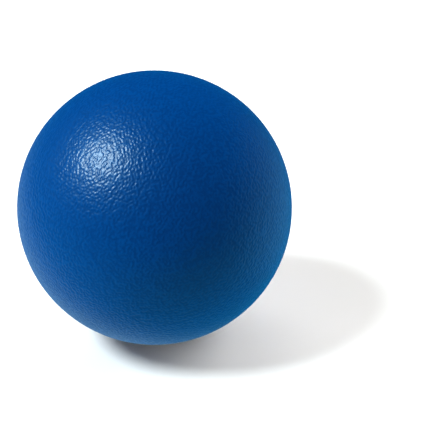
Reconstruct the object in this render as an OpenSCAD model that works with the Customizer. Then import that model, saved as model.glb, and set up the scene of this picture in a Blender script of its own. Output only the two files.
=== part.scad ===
// Stress ball: a soft foam core inside a thin seamless skin of three coats.
// The origin is the centre of the ball. +Z runs from the palm to the fingers
// that squeeze it, and the foam gives along that axis.

/* [Ball] */
// Diameter over the finished skin
ball_d = 70; // [60:1:90]

/* [Skin] */
// Thickness of the sealing coat that closes the foam's open cells
sealing_t = 0.10; // [0.05:0.05:0.30]
// Thickness of the stretchy elastomer coat that carries the grain
elastomer_t = 0.45; // [0.30:0.05:1.00]
// Thickness of the blue satin coat on the outside
colour_t = 0.15; // [0.10:0.05:0.30]

/* [Hidden] */
$fn = 96;

ball_r = ball_d / 2;
elastomer_r = ball_r - colour_t;
sealing_r = elastomer_r - elastomer_t;
core_r = sealing_r - sealing_t;

// Half of a solid ball: above the middle plane with side = 1, below it with side = -1.
module half_ball(r, side) {
    mirror([0, 0, side > 0 ? 0 : 1])
        rotate_extrude()
            intersection() {
                circle(r = r);
                square(r);
            }
}

// A closed skin of one thickness, measured inwards from its outer radius.
module coat(outer_r, thickness) {
    difference() {
        sphere(r = outer_r);
        sphere(r = outer_r - thickness);
    }
}

// The palm's half of the soft foam core.
module foam_core_lower() {
    color("lightsteelblue")
        half_ball(core_r, -1);
}

// The fingers' half of the soft foam core, which the squeeze pushes down.
module foam_core_upper() {
    color("aliceblue")
        half_ball(core_r, 1);
}

// The primer that closes the foam's cells, so that the next coat lies smooth.
module sealing_coat() {
    color("gainsboro")
        coat(sealing_r, sealing_t);
}

// The tough stretchy coat that gives the skin its strength and its leathery grain.
module elastomer_coat() {
    color("steelblue")
        coat(elastomer_r, elastomer_t);
}

// The blue outer coat with its satin shine.
module colour_coat() {
    color("mediumblue")
        coat(ball_r, colour_t);
}

foam_core_lower();
foam_core_upper();
sealing_coat();
elastomer_coat();
colour_coat();
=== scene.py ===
"""The looks of a stress ball: a soft foam ball in three coats, the outer one a grained blue skin.

Every length is in metres, in the frame of the CAD model: the ball's centre is
the origin, the squeeze runs along Z and the camera looks roughly along +Y.
"""
import itertools
import math

import bpy
import numpy as np
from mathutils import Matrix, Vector


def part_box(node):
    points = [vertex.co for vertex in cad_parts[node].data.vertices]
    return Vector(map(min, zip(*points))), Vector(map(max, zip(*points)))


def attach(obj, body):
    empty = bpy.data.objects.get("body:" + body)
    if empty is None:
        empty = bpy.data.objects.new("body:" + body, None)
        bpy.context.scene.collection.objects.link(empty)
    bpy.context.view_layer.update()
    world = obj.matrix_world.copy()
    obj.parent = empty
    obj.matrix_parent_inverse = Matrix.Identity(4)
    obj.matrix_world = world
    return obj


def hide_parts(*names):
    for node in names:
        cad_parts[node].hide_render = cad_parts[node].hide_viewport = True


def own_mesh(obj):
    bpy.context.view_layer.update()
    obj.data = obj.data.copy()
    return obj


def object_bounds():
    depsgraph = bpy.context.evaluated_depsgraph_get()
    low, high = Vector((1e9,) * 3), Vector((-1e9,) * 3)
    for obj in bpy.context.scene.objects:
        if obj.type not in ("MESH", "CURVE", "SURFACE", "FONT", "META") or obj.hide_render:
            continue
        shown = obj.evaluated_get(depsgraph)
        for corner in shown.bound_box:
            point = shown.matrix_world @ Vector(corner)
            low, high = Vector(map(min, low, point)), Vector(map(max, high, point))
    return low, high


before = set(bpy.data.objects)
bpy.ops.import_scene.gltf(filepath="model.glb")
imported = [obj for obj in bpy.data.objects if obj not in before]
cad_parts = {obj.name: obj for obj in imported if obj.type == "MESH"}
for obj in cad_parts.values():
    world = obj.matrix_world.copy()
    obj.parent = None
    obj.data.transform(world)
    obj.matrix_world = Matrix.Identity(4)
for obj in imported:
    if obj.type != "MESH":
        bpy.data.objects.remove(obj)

CAD_BOUNDS = [list(corner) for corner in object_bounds()]

# ---------------------------------------------------------------- dimensions
MM = 0.001
CENTRE = (Vector(CAD_BOUNDS[0]) + Vector(CAD_BOUNDS[1])) / 2


def radius(node):
    """The radius of a round CAD node about the ball's centre."""
    low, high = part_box(node)
    return max(high.x - CENTRE.x, CENTRE.x - low.x)


BALL_R = radius("colour_coat")
ELASTOMER_R = radius("elastomer_coat")
SEALING_R = radius("sealing_coat")
CORE_R = radius("foam_core_lower")

# The skin's grain: pebbles and creases, as a smooth random relief that adds up many waves
GRAIN_PITCH = 0.83 * MM         # the length of the average wave
GRAIN_SPREAD = 0.33             # how far the wavenumbers stray, as a share of that wave's
GRAIN_WAVES = 240
GRAIN_DEPTH = 0.072 * MM
GRAIN_FLATNESS = 1.3            # the higher, the flatter the pebbles and the sharper the creases
GRAIN_SEED = 7
UNDER_GRAIN_DEPTH = 0.05 * MM   # what is left of the grain on the coat below the skin
COAT_GAP = 0.01 * MM            # between the meshes of two coats

# The foam's cells: shallow dimples on the ball, deeper ones where it is cut
CELL_PITCH = 1.9 * MM
CELL_DIMPLE = 0.12 * MM
CELL_CUT = 0.55 * MM
CELL_JITTER = (0.1, 0.9)        # where a cell's centre may lie in its cube of the lattice
CELL_SLOPE = 0.35               # a cell is deepest where the next centre is this much farther
CELL_SEED = 3
RIM_FADE = 2.5 * MM             # the cells die away over this distance from the cut's edge

SAME_POINT = 1e-6               # points of a unit mesh that are closer than this are one
ON_PLANE = 1e-9                 # a point this close to the middle plane lies on it

# Quads along a quarter turn of each mesh
SKIN_CELLS = 336
COAT_CELLS = 88
FOAM_CELLS = 140                # even, so that the middle plane is a line of the mesh


# ------------------------------------------------------------------- meshes
def grid_quads(cells):
    """The quads of a square grid of cells x cells, whose points are numbered row by row."""
    corner = np.arange(cells * (cells + 1)).reshape(cells, cells + 1)[:, :-1].ravel()
    return np.stack([corner, corner + cells + 1, corner + cells + 2, corner + 1], -1)


def merge(points, quads):
    """The same mesh with the points that lie on each other made one."""
    steps = np.round((points + 1) / SAME_POINT).astype(np.int64)   # each below 1 << 21
    keys = steps @ np.array([1 << 42, 1 << 21, 1])
    _, first, index = np.unique(keys, return_index=True, return_inverse=True)
    return points[first], index[quads]


def unit_ball(cells):
    """A ball of radius 1 as quads, made from a cube's six sides with cells x cells each."""
    turn = np.tan(np.linspace(-math.pi / 4, math.pi / 4, cells + 1))
    a, b = (grid.ravel() for grid in np.meshgrid(turn, turn, indexing="ij"))
    one = np.ones_like(a)
    sides = [
        (one, a, b), (-one, b, a),
        (b, one, a), (a, -one, b),
        (a, b, one), (b, a, -one),
    ]
    points = np.concatenate([np.stack(side, -1) for side in sides])
    points /= np.linalg.norm(points, axis=1, keepdims=True)
    per_side = (cells + 1) ** 2
    quads = np.concatenate([grid_quads(cells) + side * per_side for side in range(6)])
    return merge(points, quads)


def unit_disc(cells):
    """A disc of radius 1 facing +Z, as quads whose rim points match those of unit_ball's middle."""
    line = np.linspace(-1, 1, cells + 1)
    a, b = (grid.ravel() for grid in np.meshgrid(line, line, indexing="ij"))
    wide = np.abs(a) >= np.abs(b)
    reach = np.where(wide, a, b)
    share = np.where(wide, b, a) / np.where(reach == 0, 1, reach)
    turn = math.pi / 4 * share
    x = np.where(wide, reach * np.cos(turn), reach * np.sin(turn))
    y = np.where(wide, reach * np.sin(turn), reach * np.cos(turn))
    return np.stack([x, y, np.zeros_like(x)], -1), grid_quads(cells)


def pebbles(directions):
    """The skin's grain in these unit directions, from 0 in the creases to 1 on the pebbles."""
    rng = np.random.default_rng(GRAIN_SEED)
    heading = rng.normal(size=(GRAIN_WAVES, 3))
    heading /= np.linalg.norm(heading, axis=1, keepdims=True)
    wavenumber = 2 * math.pi / GRAIN_PITCH * rng.normal(1, GRAIN_SPREAD, size=(GRAIN_WAVES, 1))
    phase = rng.uniform(0, 2 * math.pi, GRAIN_WAVES)
    points = directions * BALL_R
    total = np.zeros(len(points))
    for wave, shift in zip(heading * wavenumber, phase):
        total += np.cos(points @ wave + shift)
    return 0.5 + 0.5 * np.tanh(GRAIN_FLATNESS * total * math.sqrt(2 / GRAIN_WAVES))


def foam_cells(points):
    """How deep in an open foam cell these points lie, from 0 on the walls to 1 in the cell."""
    size = int(2 * CORE_R / CELL_PITCH) + 4    # of the lattice, with room for the cells outside
    jitter = np.random.default_rng(CELL_SEED).uniform(*CELL_JITTER, size=(size, size, size, 3))
    home = np.floor(points / CELL_PITCH).astype(int)
    near = np.full(len(points), np.inf)
    second = np.full(len(points), np.inf)
    for step in itertools.product((-1, 0, 1), repeat=3):
        cell = home + step
        centre = cell + jitter[tuple((cell % size).T)]
        distance = np.linalg.norm(points / CELL_PITCH - centre, axis=1)
        second = np.minimum(second, np.maximum(near, distance))
        near = np.minimum(near, distance)
    return np.clip((second - near) / CELL_SLOPE, 0, 1)


def mesh_object(name, points, quads, relief):
    """A smooth-shaded object, with its relief from 0 to 1 kept on the points for its material."""
    mesh = bpy.data.meshes.new(name)
    mesh.from_pydata(points, [], quads)
    mesh.polygons.foreach_set("use_smooth", np.ones(len(quads), bool))
    kept = mesh.attributes.new("relief", "FLOAT", "POINT")
    kept.data.foreach_set("value", relief.astype(np.float32))
    mesh.validate()
    thing = bpy.data.objects.new(name, mesh)
    bpy.context.scene.collection.objects.link(thing)
    return thing


def coat(name, outer_r, inner_r, cells, depth):
    """A closed skin between two balls, grained on the outside by creases of this depth."""
    outer, outer_quads = unit_ball(cells)
    inner, inner_quads = unit_ball(COAT_CELLS)
    relief = pebbles(outer) if depth else np.ones(len(outer))
    points = np.concatenate([outer * (outer_r - depth * (1 - relief))[:, None], inner * inner_r])
    quads = np.concatenate([outer_quads, inner_quads[:, ::-1] + len(outer)])
    return mesh_object(name, points, quads, np.concatenate([relief, np.ones(len(inner))]))


def foam_half(name, side):
    """Half of the foam ball, above (1) or below (-1) the middle plane, with open cells."""
    ball, ball_quads = unit_ball(FOAM_CELLS)
    ball_quads = ball_quads[ball[ball_quads].mean(1)[:, 2] * side > 0]
    disc, disc_quads = unit_disc(FOAM_CELLS)
    disc_quads = disc_quads[:, ::-1] if side > 0 else disc_quads
    points = np.concatenate([ball, disc])
    points, quads = merge(points, np.concatenate([ball_quads, disc_quads + len(ball)]))
    used, quads = np.unique(quads, return_inverse=True)
    points = points[used] * CORE_R
    quads = quads.reshape(-1, 4)
    cells = foam_cells(points)
    height = np.abs(points[:, 2])
    reach = np.linalg.norm(points, axis=1)
    on_cut = height < ON_PLANE
    fade = np.clip(np.where(on_cut, CORE_R - reach, height) / RIM_FADE, 0, 1)
    sunk = cells * fade
    points *= 1 - (np.where(on_cut, 0, CELL_DIMPLE) * sunk / CORE_R)[:, None]
    points[:, 2] += np.where(on_cut, side * CELL_CUT * sunk, 0)
    return mesh_object(name, points, quads, 1 - sunk)


# ---------------------------------------------------------------- materials
def add_node(tree, kind, inputs=(), **settings):
    """A node with these settings. An input is a value, or the socket that drives it."""
    made = tree.nodes.new(kind)
    for name, value in settings.items():
        setattr(made, name, value)
    for name, value in dict(inputs).items():
        if isinstance(value, bpy.types.NodeSocket):
            tree.links.new(value, made.inputs[name])
        else:
            made.inputs[name].default_value = value
    return made


class Finish:
    """A material built from nodes round one Principled shader."""

    def __init__(self, name):
        self.material = bpy.data.materials.new(name)
        self.material.use_nodes = True
        self.tree = self.material.node_tree
        self.shader = self.tree.nodes["Principled BSDF"]

    def set(self, **values):
        """Sets the shader's sockets, with spaces for the underscores of their names."""
        for name, value in values.items():
            self.shader.inputs[name.replace("_", " ")].default_value = value

    def node(self, kind, inputs=(), **settings):
        return add_node(self.tree, kind, inputs, **settings)

    def link(self, source, socket_name):
        self.tree.links.new(source, self.shader.inputs[socket_name])

    def relief(self):
        """The relief kept on the mesh's points."""
        return self.node("ShaderNodeAttribute", attribute_name="relief").outputs["Fac"]

    def noise(self, size, detail=2.0):
        """Noise from 0 to 1 whose blots measure about size."""
        place = self.node("ShaderNodeTexCoord").outputs["Object"]
        inputs = {"Vector": place, "Scale": 1 / size, "Detail": detail}
        return self.node("ShaderNodeTexNoise", inputs).outputs["Fac"]

    def walls(self, size):
        """The distance from the walls of a foam whose cells measure about size."""
        place = self.node("ShaderNodeTexCoord").outputs["Object"]
        inputs = {"Vector": place, "Scale": 1 / size}
        cells = self.node("ShaderNodeTexVoronoi", inputs, feature="DISTANCE_TO_EDGE")
        return cells.outputs["Distance"]

    def between(self, source, low, high):
        """low where the source is 0 and high where it is 1, for numbers."""
        inputs = {"Value": source, "To Min": low, "To Max": high}
        return self.node("ShaderNodeMapRange", inputs).outputs["Result"]

    def blend(self, source, low, high):
        """low where the source is 0 and high where it is 1, for colours."""
        mix = self.node("ShaderNodeMix", data_type="RGBA")
        self.tree.links.new(source, mix.inputs["Factor"])
        for socket, colour in (("A", low), ("B", high)):
            target = next(s for s in mix.inputs if s.name == socket and s.type == "RGBA")
            if isinstance(colour, bpy.types.NodeSocket):
                self.tree.links.new(colour, target)
            else:
                target.default_value = (*colour, 1)
        return next(s for s in mix.outputs if s.type == "RGBA")

    def bump(self, height, distance, strength=1.0):
        """Raises the surface in shading by distance where the height is 1."""
        inputs = {"Height": height, "Distance": distance, "Strength": strength}
        self.link(self.node("ShaderNodeBump", inputs).outputs["Normal"], "Normal")


def skin_finish():
    """Satin blue colour coat, a little darker in the creases from painted shade and duller there,
    under a clear gloss.
    """
    finish = Finish("blue_satin_skin")
    # Painted shade: the creases are coloured darker than the pebbles' tops
    crease_shaded = finish.blend(finish.relief(), (0.0, 0.03, 0.145), (0.0, 0.044, 0.195))
    patch = finish.between(finish.noise(14 * MM), 0.0, 0.5)
    finish.link(finish.blend(patch, crease_shaded, (0.0, 0.037, 0.18)), "Base Color")
    finish.link(finish.between(finish.relief(), 0.47, 0.41), "Roughness")
    finish.set(IOR=1.45, Specular_IOR_Level=0.32, Specular_Tint=(0.05, 0.75, 1.0, 1))
    finish.set(Coat_Weight=0.46, Coat_Roughness=0.27, Coat_IOR=1.45)
    finish.bump(finish.noise(0.3 * MM), 0.004 * MM)
    return finish.material


def elastomer_finish():
    """Clear blue rubber, faintly cloudy."""
    finish = Finish("clear_blue_elastomer")
    cloud = finish.noise(6 * MM, 4)
    finish.link(finish.blend(cloud, (0.01, 0.12, 0.38), (0.03, 0.19, 0.5)), "Base Color")
    finish.link(finish.between(finish.noise(2 * MM), 0.2, 0.35), "Roughness")
    finish.set(IOR=1.5)
    finish.bump(finish.noise(1.5 * MM), 0.02 * MM)
    return finish.material


def primer_finish():
    """Chalky off-white primer, mottled where it soaked into the foam."""
    finish = Finish("sealing_primer")
    mottle = finish.noise(3 * MM, 6)
    finish.link(finish.blend(mottle, (0.62, 0.64, 0.63), (0.84, 0.86, 0.86)), "Base Color")
    finish.link(finish.between(finish.noise(1 * MM), 0.65, 0.9), "Roughness")
    finish.bump(finish.noise(0.6 * MM, 4), 0.03 * MM)
    return finish.material


def foam_finish():
    """Cream open-cell foam: bright walls, painted shade deep in the cells, and finer cells within
    them.
    """
    finish = Finish("soft_foam")
    # Painted shade: the foam is coloured darker the deeper a point lies in its cell
    cells = finish.blend(finish.relief(), (0.5, 0.45, 0.34), (0.88, 0.86, 0.78))
    patch = finish.between(finish.noise(9 * MM, 3), 0.0, 0.6)
    finish.link(finish.blend(patch, cells, (0.8, 0.76, 0.64)), "Base Color")
    finish.set(Roughness=0.95)
    finish.bump(finish.walls(0.6 * MM), 0.25 * MM, 0.7)
    return finish.material


# ------------------------------------------------------------------- pieces
def fit(piece, node, body, material):
    """The piece stands for its CAD node, moves with its body and flattens evenly in the squeeze."""
    piece.data.materials.append(material)
    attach(piece, body)
    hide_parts(node)
    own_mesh(piece)


COATS = [
    # piece, CAD node, material slot, its material, outer and inner radius, quads, grain's depth
    ("grained_skin", "colour_coat", "blue_satin_skin", skin_finish(),
     BALL_R, ELASTOMER_R, SKIN_CELLS, GRAIN_DEPTH),
    ("elastomer_layer", "elastomer_coat", "clear_blue_elastomer", elastomer_finish(),
     ELASTOMER_R, SEALING_R, COAT_CELLS, UNDER_GRAIN_DEPTH),
    ("sealing_film", "sealing_coat", "sealing_primer", primer_finish(),
     SEALING_R, CORE_R, COAT_CELLS, 0),
]
for name, node, slot, material, outer_r, inner_r, cells, depth in COATS:
    layer = coat(name, outer_r, inner_r + COAT_GAP, cells, depth)
    fit(layer, node, "palm_side", material)

HALVES = [
    # side of the middle plane, CAD node, body
    (-1, "foam_core_lower", "palm_side"),
    (1, "foam_core_upper", "finger_side"),
]
foam = foam_finish()
for side, node, body in HALVES:
    half = foam_half("foam_" + body, side)
    fit(half, node, body, foam)

# ------------------------------------------------------------------- camera
VIEW_ELEVATION = math.radians(25)
VIEW_DISTANCE = 8 * BALL_R
BALL_SHARE = 0.6119     # the ball's width as a share of the frame's
BALL_LEFT = 0.1515      # how far its centre lies left of the frame's centre, in frame widths
BALL_UP = 0.0407        # and how far above it

to_camera = Vector((0, -math.cos(VIEW_ELEVATION), math.sin(VIEW_ELEVATION)))
screen_up = Vector((0, math.sin(VIEW_ELEVATION), math.cos(VIEW_ELEVATION)))
screen_right = Vector((1, 0, 0))
focal = BALL_SHARE / 2 / math.tan(math.asin(BALL_R / VIEW_DISTANCE))   # in frame widths
frame_width = VIEW_DISTANCE / focal

camera = bpy.data.objects.new("camera", bpy.data.cameras.new("camera"))
bpy.context.scene.collection.objects.link(camera)
camera.location = CENTRE + to_camera * VIEW_DISTANCE
target = CENTRE + (screen_right * BALL_LEFT - screen_up * BALL_UP) * frame_width
camera.rotation_euler = (target - camera.location).to_track_quat("-Z", "Y").to_euler()
camera.data.lens = focal * camera.data.sensor_width
camera.data.clip_start = 0.01
bpy.context.scene.camera = camera

# -------------------------------------------------------------------- floor
# A white sheet that ends just in front of the camera's view, with the dark of the studio beyond it
SHEET_REACH = 3.0
SHEET_FRONT = 0.1
FLOOR_SEEN = (0.95, 0.935, 0.9)
FLOOR_BOUNCE = (0.25, 0.94, 0.9)   # its light on the ball is cooler, so that the blue stays pure
sheet = bpy.data.meshes.new("floor")
corners = [
    (x, y, CAD_BOUNDS[0][2])
    for x, y in [
        (-SHEET_REACH, -SHEET_FRONT), (SHEET_REACH, -SHEET_FRONT),
        (SHEET_REACH, SHEET_REACH), (-SHEET_REACH, SHEET_REACH),
    ]
]
sheet.from_pydata(corners, [], [(0, 1, 2, 3)])
floor = bpy.data.objects.new("floor", sheet)
bpy.context.scene.collection.objects.link(floor)
floor.visible_glossy = False
floor_finish = Finish("white_floor")
seen = floor_finish.node("ShaderNodeLightPath").outputs["Is Camera Ray"]
floor_finish.link(floor_finish.blend(seen, FLOOR_BOUNCE, FLOOR_SEEN), "Base Color")
floor_finish.set(Roughness=0.9, Specular_IOR_Level=0)
floor.data.materials.append(floor_finish.material)

# ------------------------------------------------------------------- lights
LAMPS = [
    # name, elevation, azimuth from +X, width (degrees), irradiance, colour, shows in reflections
    ("key", 49.0, 197.3, 20, 4.3, (0.84, 0.95, 1), True),
    ("left", 5, 205, 36, 2.0, (1, 1, 1), False),
    ("right", 26, 17, 60, 3.4, (1, 1, 1), False),
    ("back", 27, 92, 71, 2.8, (1, 1, 1), False),
]


def aim(elevation, azimuth):
    """The unit direction with this elevation, and this azimuth from +X, in degrees."""
    up, round_z = math.radians(elevation), math.radians(azimuth)
    level = math.cos(up)
    return Vector((level * math.cos(round_z), level * math.sin(round_z), math.sin(up)))


for name, elevation, azimuth, width, irradiance, colour, mirrored in LAMPS:
    lamp = bpy.data.objects.new(name, bpy.data.lights.new(name, "SUN"))
    bpy.context.scene.collection.objects.link(lamp)
    lamp.rotation_euler = aim(elevation, azimuth).to_track_quat("Z", "Y").to_euler()
    lamp.data.energy = irradiance
    lamp.data.color = colour
    lamp.data.angle = math.radians(width)
    lamp.visible_glossy = mirrored
    lamp.data.cycles.use_multiple_importance_sampling = mirrored

# What the camera sees round the ball is white. What the ball mirrors is a blue room that is black
# on the camera's side and dim above, with patches of light
ROOM_COLOUR = (0.02, 0.5, 1.0, 1)
ROOM_LIGHT = 0.7
SHARE_BY_CAMERA = 0.03      # of the room's light on the camera's side
SHARE_ABOVE = 0.15          # and above the ball
PATCHES = [
    # direction, the cosines to it where the patch starts and is full, colour, strength
    ((-0.45, 0.55, -0.7), 0.7, 1, (0.9, 1, 1, 1), 0.4),            # the floor at the lower left
    ((0.93, 0.3, -0.1), 0.68, 1.1, (0.5, 0.95, 0.95, 1), 0.45),    # a pale wall at the right
    ((0.5, -0.75, 0.3), 0.3, 1, (1, 0.3, 0.4, 1), 0.05),           # a faint glimmer by the camera
]

world = bpy.data.worlds.new("studio")
bpy.context.scene.world = world
world.cycles.sampling_method = "NONE"
world.use_nodes = True
studio = world.node_tree
studio.nodes.clear()


def glow(direction, start, end, low, high):
    """From low to high as the cosine of the angle to the direction goes from start to end."""
    way = add_node(studio, "ShaderNodeTexCoord").outputs["Generated"]
    towards = Vector(direction).normalized()
    cosine = add_node(studio, "ShaderNodeVectorMath", {0: way, 1: towards}, operation="DOT_PRODUCT")
    ends = {"From Min": start, "From Max": end, "To Min": low, "To Max": high}
    inputs = {"Value": cosine.outputs["Value"], **ends}
    ramp = add_node(studio, "ShaderNodeMapRange", inputs, interpolation_type="SMOOTHSTEP")
    return ramp.outputs["Result"]


def combine(operation, first, second):
    """A number made from two others."""
    inputs = {0: first, 1: second}
    return add_node(studio, "ShaderNodeMath", inputs, operation=operation).outputs["Value"]


def light_of(colour, strength):
    """A background of this colour and strength."""
    inputs = {"Color": colour, "Strength": strength}
    return add_node(studio, "ShaderNodeBackground", inputs).outputs["Background"]


def choose(share, otherwise, chosen):
    """The chosen background for rays with a share of 1, and the other for rays with 0."""
    inputs = {0: share, 1: otherwise, 2: chosen}
    return add_node(studio, "ShaderNodeMixShader", inputs).outputs["Shader"]


share_behind = glow(to_camera, -0.3, 0.5, 1, SHARE_BY_CAMERA)
light_below = glow((0, 0, 1), -0.5, 0.3, ROOM_LIGHT, SHARE_ABOVE * ROOM_LIGHT)
room = light_of(ROOM_COLOUR, combine("MULTIPLY", share_behind, light_below))
for direction, start, full, colour, strength in PATCHES:
    patch = light_of(colour, glow(direction, start, full, 0, strength))
    room = add_node(studio, "ShaderNodeAddShader", {0: room, 1: patch}).outputs["Shader"]

# The room shows in the gloss that the camera sees, and not in the light that the ball throws on
# the floor, so that the shadow stays grey
ray = add_node(studio, "ShaderNodeLightPath").outputs
no_floor_before = combine("LESS_THAN", ray["Diffuse Depth"], 0.5)
in_gloss = combine("MULTIPLY", ray["Is Glossy Ray"], no_floor_before)
unseen = choose(in_gloss, light_of((0, 0, 0, 1), 0), room)
whole = choose(ray["Is Camera Ray"], unseen, light_of((1, 1, 1, 1), 1))
add_node(studio, "ShaderNodeOutputWorld", {"Surface": whole})

bpy.context.scene.view_settings.view_transform = "Standard"
